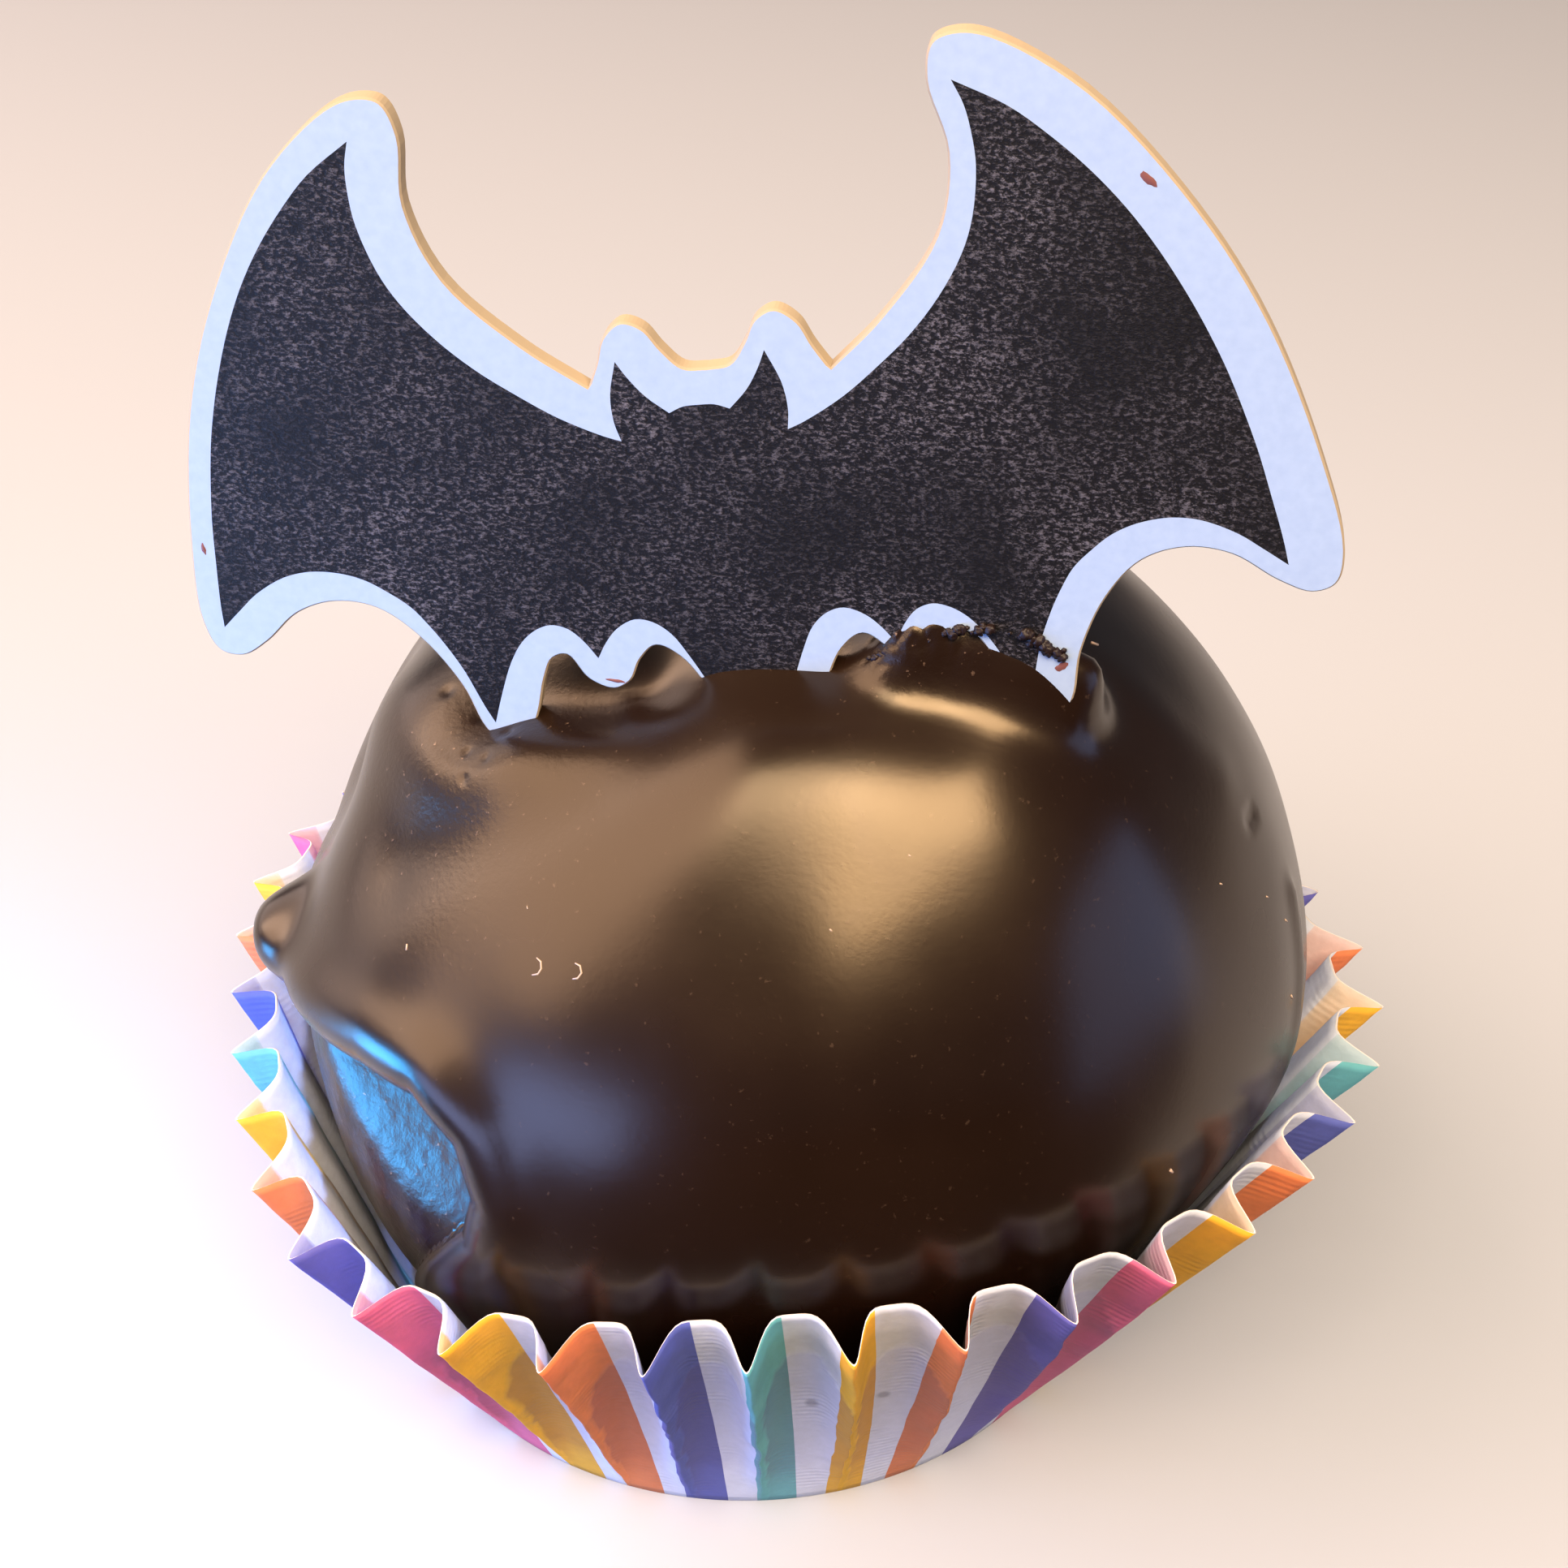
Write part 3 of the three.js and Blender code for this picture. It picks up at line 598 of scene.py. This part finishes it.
def curl(spots, thickness, sides=6):
    """Points and faces of a thin rod through the spots, drawn in at its ends."""
    spots = np.array(spots)
    points, faces = [], []
    for i, spot in enumerate(spots):
        along = spots[min(i + 1, len(spots) - 1)] - spots[max(i - 1, 0)]
        along /= np.linalg.norm(along)
        out = spot - CAKE_MIDDLE
        out /= np.linalg.norm(out)
        side = np.cross(along, out)
        half = thickness * (0.55 if i in (0, len(spots) - 1) else 1)
        for turn in np.arange(sides) * 2 * np.pi / sides:
            points.append(spot + half * (np.cos(turn) * side + np.sin(turn) * out))
    for i in range(len(spots) - 1):
        for k in range(sides):
            m = (k + 1) % sides
            faces.append((i * sides + k, i * sides + m, (i + 1) * sides + m, (i + 1) * sides + k))
    last = (len(spots) - 1) * sides
    return points, faces + [tuple(range(sides))[::-1], tuple(range(last, last + sides))]


# Dried sugar and crumb. It gives matt cream specks against the dark coat.
pale_crumb, _, _ = new_material("pale sugar and crumb", Base_Color=linear("#b9a08c"), Roughness=0.7, IOR=1.45)
fleck_points, fleck_faces = [], []
for path, thickness in FLECKS:
    more, faces = curl(cake_surface(np.array([towards(*p) for p in path])), thickness)
    fleck_faces += [tuple(len(fleck_points) + i for i in face) for face in faces]
    fleck_points += more
flecks = mesh_piece("flecks", fleck_points, fleck_faces, [pale_crumb])
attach(flecks, "root")

# ---------------------------------------------------------------------------------------------
# The plaque. A bat die-cut from thin white card, with a black print inside a plain margin. The
# print sits a little off the cut. It is pushed into the chocolate by its tail before that sets.
# ---------------------------------------------------------------------------------------------
CARD, CARD_BEVEL, BEND_RADIUS = 0.7, 0.07, 345  # the card's thickness, its worn edge, and its slight bend
# where the plaque's middle stands, and how it is turned, leans back and is rolled to one side
PLAQUE_MIDDLE, YAW, LEAN, ROLL_TURN = (1.0, -7.9, 38.1), -9.0, 1.2, 8.2
# the cut's right half: from the head's top to the ear's outer foot, and from there to the tail
HEAD_AND_EAR = [(0, 10.8), (0.8, 10.9), (1.4, 11.6), (1.9, 12.4), (2.6, 12.7), (3.3, 12.2), (3.7, 11.3),
                (4.15, 10.45)]
WING_AND_TAIL = [
    (4.15, 10.45), (6.1, 12.15), (8.2, 14.75), (8.85, 17.4), (8.45, 19.7), (8.75, 20.85), (9.5, 21.1),
    (10.6, 20.85), (13.3, 18.9), (16.3, 14.95), (18.35, 10.95), (19.9, 5.95), (20.5, 2.6), (20.2, 1.3),
    (19.4, 1), (18.3, 1.5), (16.8, 2.6), (15.3, 2.93), (13.8, 2.5), (12.5, 1.1), (11.45, -1.1),
    (11, -3.1), (10.35, -4.05), (9.45, -3.65), (8.8, -2.5), (8.25, -1.05), (7.75, -0.2), (7.2, -0.1),
    (6.6, -1.2), (5.75, -1.7), (5.05, -1.4), (4.5, -0.5), (3.8, 0.05), (3, -0.5), (2.2, -2),
    (1.2, -4.6), (0, -5.6)]
# the print's right half, in smooth runs between its sharp corners
PRINT_RUNS = [
    [(0, 9.3), (0.55, 9.27), (1.05, 9.07)],
    [(1.05, 9.07), (1.75, 9.75), (2.25, 10.5), (2.55, 11.1)],
    [(2.55, 11.1), (2.95, 9.9), (3.02, 8.9), (2.9, 8.15)],
    [(2.9, 8.15), (3.5, 8.4), (4.9, 9.2), (6.2, 10.2), (7.4, 11.25), (8.5, 12.5), (9.4, 13.9), (9.87, 15.1),
     (10.15, 16.7), (10.13, 17.7), (9.98, 18.7), (9.68, 19.5)],
    [(9.68, 19.5), (11.3, 18.55), (12.45, 17.55), (13.6, 16.35), (14.65, 15), (15.55, 13.55), (16.35, 12),
     (16.95, 10.65), (17.52, 9.15), (18.3, 6.5), (18.7, 4.7), (19.05, 3), (19.2, 2)],
    [(19.2, 2), (18.4, 2.65), (17.55, 3.3), (16.4, 3.85), (15.5, 4), (14.8, 3.95), (14.05, 3.76),
     (13.35, 3.42), (12.7, 2.9), (12, 2.2), (11.5, 1.35), (11.1, 0.5), (10.65, -0.7), (10.25, -2.3),
     (10, -3.1)],
    [(10, -3.1), (9.4, -1.7), (8.8, -0.48), (8.2, 0.36), (7.6, 0.82), (7, 1), (6.4, 0.8), (5.9, 0.22),
     (5.5, -0.55)],
    [(5.5, -0.55), (5.08, 0.1), (4.55, 0.67), (3.83, 1.01), (3.2, 0.85), (2.6, 0.3), (2.05, -0.8),
     (1.2, -2.8), (0, -4.5)]]
PRINT_SHIFT, PRINT_TURN = (-0.55, 0.2), -0.25  # how far the print sits off the cut


def smooth_line(nodes, steps):
    """A smooth curve through the nodes (a centripetal Catmull-Rom curve), with steps points a stretch."""
    nodes = [np.array(n, dtype=float) for n in nodes]
    line = []
    for i in range(len(nodes) - 1):
        p1, p2 = nodes[i], nodes[i + 1]
        p0 = nodes[i - 1] if i > 0 else 2 * p1 - p2
        p3 = nodes[i + 2] if i + 2 < len(nodes) else 2 * p2 - p1
        d0, d1, d2 = (max(np.linalg.norm(b - a) ** 0.5, 1e-4) for a, b in ((p0, p1), (p1, p2), (p2, p3)))
        t1 = ((p1 - p0) / d0 - (p2 - p0) / (d0 + d1) + (p2 - p1) / d1) * d1
        t2 = ((p2 - p1) / d1 - (p3 - p1) / (d1 + d2) + (p3 - p2) / d2) * d1
        for t in np.arange(steps) / steps:
            line.append((2 * t ** 3 - 3 * t * t + 1) * p1 + (t ** 3 - 2 * t * t + t) * t1
                        + (-2 * t ** 3 + 3 * t * t) * p2 + (t ** 3 - t * t) * t2)
    return line + [nodes[-1]]


def mirrored_loop(half):
    """Both halves of an outline, from its right half, top to bottom."""
    half = np.array(half)
    return np.concatenate([half, half[1:-1][::-1] * [-1, 1]])


cut_outline = mirrored_loop(smooth_line(HEAD_AND_EAR, 6) + smooth_line(WING_AND_TAIL, 6)[1:])
print_half = [p for run in PRINT_RUNS for p in smooth_line(run, 4)[:-1]]
print_half += [np.array(PRINT_RUNS[-1][-1], dtype=float)]
turn = np.radians(PRINT_TURN)
turning = np.array([[np.cos(turn), np.sin(turn)], [-np.sin(turn), np.cos(turn)]])
print_outline = mirrored_loop(print_half) @ turning + PRINT_SHIFT


def is_inside(loop, point):
    """Whether the point lies inside the loop."""
    before = np.roll(loop, 1, 0)
    crosses = (before[:, 1] > point[1]) != (loop[:, 1] > point[1])
    rise = np.where(loop[:, 1] == before[:, 1], 1, loop[:, 1] - before[:, 1])
    at = before[:, 0] + (loop[:, 0] - before[:, 0]) * (point[1] - before[:, 1]) / rise
    return (crosses & (point[0] < at)).sum() % 2 == 1


def inward(loop, distance):
    """The loop, which runs clockwise, moved in by a distance."""
    along = np.roll(loop, -1, 0) - np.roll(loop, 1, 0)
    along /= np.linalg.norm(along, axis=1, keepdims=True)
    return loop + distance * np.stack([along[:, 1], -along[:, 0]], -1)


face_outline = inward(cut_outline, CARD_BEVEL)
count = len(cut_outline)
flat_points = [Vector(p) for p in np.concatenate([face_outline, print_outline])]
flat, _, triangles, _, _, _ = geometry.delaunay_2d_cdt(
    flat_points, [], [list(range(count)), list(range(count, count + len(print_outline)))], 1, 1e-5)
flat = np.array([tuple(p) for p in flat])


def plaque_place(points):
    """Bends the flat plaque and stands it in its place."""
    points = np.array(points, dtype=float)
    points[:, 2] += points[:, 0] ** 2 / (2 * BEND_RADIUS)
    stand = (Matrix.Translation(PLAQUE_MIDDLE) @ Matrix.Rotation(np.radians(YAW), 4, "Z")
             @ Matrix.Rotation(np.radians(90 + LEAN), 4, "X")
             @ Matrix.Rotation(np.radians(ROLL_TURN), 4, "Z"))
    return points @ np.array(stand)[:3, :3].T + np.array(stand)[:3, 3]


half_card = CARD / 2
levels = [(cut_outline, half_card - CARD_BEVEL), (cut_outline, CARD_BEVEL - half_card)]
plaque_flat = np.concatenate(
    [np.c_[flat, np.full(len(flat), half_card)], np.c_[flat, np.full(len(flat), -half_card)]]
    + [np.c_[loop, np.full(count, z)] for loop, z in levels])
PRINTED, PLAIN, CUT = 0, 1, 2
plaque_faces, plaque_material = [], []
for face in triangles:
    plaque_faces += [list(face), [len(flat) + i for i in face[::-1]]]
    plaque_material += [PRINTED if is_inside(print_outline, flat[list(face)].mean(0)) else PLAIN, PLAIN]
# the face's outline keeps its order in the triangulation's first points
front, back, high, low = 0, len(flat), 2 * len(flat), 2 * len(flat) + count
for upper, lower in ((front, high), (high, low), (low, back)):
    for i in range(count):
        j = (i + 1) % count
        plaque_faces.append([upper + i, upper + j, lower + j, lower + i])
        plaque_material.append(CUT)

# Uncoated white card, matt and slightly bluish, with a soft fibre grain. Its colour is set darker and bluer
# than white card is, because the strong key light would bleach it.
card, tree, surface = new_material("white card", Roughness=0.75, IOR=1.45, Specular_IOR_Level=0.3)
where = add(tree, "ShaderNodeTexCoord")
fibre = add(tree, "ShaderNodeTexNoise",
            {"Vector": where.outputs["Object"], "Scale": 1 / (0.35 * MM), "Detail": 4.0})
tone = add(tree, "ShaderNodeMix", {0: fibre.outputs["Fac"], 6: linear("#99afcf"), 7: linear("#aabfda")},
           data_type="RGBA")
tree.links.new(tone.outputs[2], surface.inputs["Base Color"])
bump = add(tree, "ShaderNodeBump", {"Strength": 0.4, "Distance": 0.02 * MM, "Height": fibre.outputs["Fac"]})
tree.links.new(bump.outputs["Normal"], surface.inputs["Normal"])

# Black toner on the card's rough face: matt black, with pale specks, 0.13 mm, where fibres stand through; the
# specks are also a painted highlight, standing for glints off the rough face.
# The specks are denser in patches of 7 mm.
ink, tree, surface = new_material("black print on card", Roughness=0.55, IOR=1.45, Specular_IOR_Level=0.3)
where = add(tree, "ShaderNodeTexCoord")
stretch = add(tree, "ShaderNodeMapping", {"Vector": where.outputs["Object"], "Scale": (0.6, 1.0, 1.0)})
specks = add(tree, "ShaderNodeTexNoise",
             {"Vector": stretch.outputs[0], "Scale": 1 / (0.13 * MM), "Detail": 4.0, "Roughness": 0.75})
patches = add(tree, "ShaderNodeTexNoise",
              {"Vector": where.outputs["Object"], "Scale": 1 / (7 * MM), "Detail": 2.0})
bright = add(tree, "ShaderNodeMapRange", {0: specks.outputs["Fac"], 1: 0.5, 2: 0.66, 3: 0.0, 4: 1.0})
amount = add(tree, "ShaderNodeMapRange", {0: patches.outputs["Fac"], 1: 0.35, 2: 0.65, 3: 0.12, 4: 1.0})
shown = add(tree, "ShaderNodeMath", {0: bright.outputs[0], 1: amount.outputs[0]}, operation="MULTIPLY")
tone = add(tree, "ShaderNodeMix", {0: shown.outputs[0], 6: linear("#0d0b0c"), 7: linear("#6b6870")},
           data_type="RGBA")
tree.links.new(tone.outputs[2], surface.inputs["Base Color"])
bump = add(tree, "ShaderNodeBump", {"Strength": 1.0, "Distance": 0.05 * MM, "Height": specks.outputs["Fac"]})
tree.links.new(bump.outputs["Normal"], surface.inputs["Normal"])

# The die-cut edge shows the card's cream core, set darker than it is for the same reason.
core, _, _ = new_material("card core at the cut", Base_Color=linear("#a8977f"), Roughness=0.85, IOR=1.45,
                          Specular_IOR_Level=0.25)
plaque = mesh_piece("topper_visual", plaque_place(plaque_flat), plaque_faces, [ink, card, core],
                    plaque_material)
plaque.data.polygons.foreach_set("use_smooth", np.zeros(len(plaque.data.polygons), dtype=bool))
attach(plaque, "root")
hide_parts("topper")

# Smears of chocolate and sugar that fingers left on the card, as thin raised pads. Each has its place on the
# flat plaque, half its length, half its width, and its turn.
SMEARS = [(-9.9, -3.5, 0.55, 0.14, 20), (-9.3, -3.9, 0.3, 0.12, 60), (-5.6, -1.35, 0.45, 0.1, -15),
          (-19.5, 5.6, 0.28, 0.09, 88), (14.9, 16.0, 0.4, 0.16, -50), (10.7, -1.7, 0.3, 0.2, 30)]
SMEAR_SIDES, SMEAR_RISE = 14, 0.025

smear_points, smear_faces = [], []
for i, (x, y, half_long, half_wide, turn) in enumerate(SMEARS):
    around = np.arange(SMEAR_SIDES) * 2 * np.pi / SMEAR_SIDES
    uneven_rim = 1 + 0.45 * ripple(np.c_[np.cos(around) * 1.7, np.sin(around) * 1.7, 0 * around + i], 21)
    along, across = half_long * np.cos(around) * uneven_rim, half_wide * np.sin(around) * uneven_rim
    tilt = np.radians(turn)
    rim = np.c_[x + along * np.cos(tilt) - across * np.sin(tilt),
                y + along * np.sin(tilt) + across * np.cos(tilt), 0 * along + half_card - 0.01]
    halfway = rim * [1, 1, 0] * 0.5 + [x / 2, y / 2, half_card + 0.8 * SMEAR_RISE]
    outside = len(smear_points)
    inside = outside + SMEAR_SIDES
    smear_points += [*rim, *halfway, (x, y, half_card + SMEAR_RISE)]
    for k in range(SMEAR_SIDES):
        m = (k + 1) % SMEAR_SIDES
        smear_faces += [(outside + k, outside + m, inside + m, inside + k),
                        (inside + k, inside + m, inside + SMEAR_SIDES)]
# Chocolate wiped thin over white card. It gives a dull red-brown.
smeared, _, _ = new_material("thin smear of chocolate", Base_Color=linear("#7a4a44"), Roughness=0.6, IOR=1.45)
smears = mesh_piece("smears", plaque_place(smear_points), smear_faces, [smeared])
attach(smears, "root")

# Crumbs of the coat that cling to the card along its right end, where it broke the coat as it went in. The
# line is on the flat plaque, and a crumb lies off it by about the spread.
CRUMB_LINE = [(4.0, -1.0), (5.8, -0.4), (7.4, 0.1), (9.0, -0.1), (10.0, -0.7), (10.7, -1.3)]
CRUMBS, CRUMB_SPREAD, CRUMB_LEAST, CRUMB_SPAN = 80, 0.12, 0.06, 0.16
chance = np.random.default_rng(4)
crumb_ball = bmesh.new()
bmesh.ops.create_icosphere(crumb_ball, subdivisions=3, radius=1.0)
ball_points = np.array([v.co[:] for v in crumb_ball.verts])
ball_faces = [[v.index for v in f.verts] for f in crumb_ball.faces]
crumb_ball.free()
line = np.array(CRUMB_LINE)
crumb_points, crumb_faces = [], []
for i in range(CRUMBS):
    at = chance.uniform(0, len(line) - 1.001)
    spot = line[int(at)] + (at % 1) * (line[int(at) + 1] - line[int(at)]) + chance.normal(0, CRUMB_SPREAD, 2)
    size = CRUMB_LEAST + CRUMB_SPAN * chance.random() ** 2
    lump = ball_points * size * (1 + 0.5 * ripple(ball_points * 1.4 + i, 22))[:, None]
    crumb_faces += [[len(crumb_points) + k for k in face] for face in ball_faces]
    crumb_points += list(lump * [1, 1, 0.8] + [*spot, half_card + 0.3 * size])
# Chocolate crumbs, broken rather than poured. They give a dull, dark, ragged line.
crumb_look, _, _ = new_material("broken dark chocolate", Base_Color=linear("#1c0e0a"), Roughness=0.5,
                                IOR=1.47, Specular_IOR_Level=0.4)
crumbs = mesh_piece("crumbs", plaque_place(crumb_points), crumb_faces, [crumb_look])
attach(crumbs, "root")

# ---------------------------------------------------------------------------------------------
# The stage: a plain pale table top whose front end is painted dark as shade, warm soft light from above and
# the left, and small cool lights low at the sides.
# ---------------------------------------------------------------------------------------------
table, tree, surface = new_material("pale matt table", Roughness=0.9)
# the pale top turns dark in front of the case, out of the picture: painted shade, for the coat's lower front
# to mirror
FRONT_SHADE_FROM, FRONT_SHADE_TO = -21, -36
where = add(tree, "ShaderNodeTexCoord")
apart = add(tree, "ShaderNodeSeparateXYZ", {0: where.outputs["Object"]})
painted_front_shade = add(tree, "ShaderNodeMapRange",
            {0: apart.outputs["Y"], 1: FRONT_SHADE_FROM * MM, 2: FRONT_SHADE_TO * MM, 3: 0.0, 4: 1.0},
            interpolation_type="SMOOTHSTEP")
tone = add(tree, "ShaderNodeMix", {0: painted_front_shade.outputs[0], 6: linear("#a9adb4"), 7: linear("#151110")},
           data_type="RGBA")
tree.links.new(tone.outputs[2], surface.inputs["Base Color"])
TABLE_HALF, TABLE_DROP = 1500, 0.02
corners = [(-1, -1), (1, -1), (1, 1), (-1, 1)]
floor = mesh_piece("table_top", [(x * TABLE_HALF, y * TABLE_HALF, -TABLE_DROP) for x, y in corners],
                   [(0, 1, 2, 3)], [table])

# Each softbox: direction from the cake (azimuth, elevation), distance, half angles across and up, and the
# light that each square metre gives in red, green and blue. Places and colours were set to bring
# the render's colours near the photo's, so they are warmer and bluer than plain studio light.
SOFTBOXES = [
    ("warm_key", (-68, 51), 420, (15, 13), (19, 14.4, 9.6)),
    ("warm_key_left", (-105, 59), 420, (14, 11), (11, 8.9, 6.6)),
    ("warm_wall", (-172, 41), 420, (31, 26), (5.6, 4.1, 3.3)),
    ("back_left", (148, 25), 420, (20, 24), (2.0, 1.6, 1.5)),
    ("window", (-166, -3), 80, (10, 8), (1.5, 14, 40)),
    ("window_glow", (-138, 1), 110, (16, 8), (2.0, 3.1, 8)),
    ("cool_right", (-20, 7), 150, (18, 12), (0.5, 0.8, 1.8)),
]
for name, at, distance, (half_across, half_up), strength in SOFTBOXES:
    lamp = bpy.data.lights.new(name, "AREA")
    lamp.shape = "RECTANGLE"
    lamp.size = 2 * distance * np.tan(np.radians(half_across)) * MM
    lamp.size_y = 2 * distance * np.tan(np.radians(half_up)) * MM
    lamp.energy = max(strength) * np.pi * lamp.size * lamp.size_y
    lamp.color = [s / max(strength) for s in strength]
    holder = bpy.data.objects.new(name, lamp)
    way = Vector(towards(*at))
    holder.location = (Vector(CAKE_MIDDLE) + way * distance) * MM
    holder.rotation_euler = way.to_track_quat("Z", "Y").to_euler()
    bpy.context.scene.collection.objects.link(holder)

world = bpy.data.worlds.new("soft room light")
world.use_nodes = True
world.node_tree.nodes["Background"].inputs["Color"].default_value = linear("#d3e2f7")
world.node_tree.nodes["Background"].inputs["Strength"].default_value = 0.14
bpy.context.scene.world = world
bpy.context.scene.view_settings.view_transform = "Standard"

# The camera stands where the photograph was taken from: close in front, looking down at 36 degrees.
CAMERA_AT = (1.136, -78.423, 82.138)
RIGHT, UP, BACK = (0.9998, -0.0176, -0.0119), (0.0199, 0.5831, 0.8121), (-0.0074, -0.8122, 0.5833)
lens = bpy.data.cameras.new("camera")
lens.sensor_width, lens.lens = 36.0, 52.844
lens.clip_start = 0.005
camera = bpy.data.objects.new("camera", lens)
camera.matrix_world = (Matrix.Translation(Vector(CAMERA_AT) * MM)
                       @ Matrix((RIGHT, UP, BACK)).transposed().to_4x4())
bpy.context.scene.collection.objects.link(camera)
bpy.context.scene.camera = camera
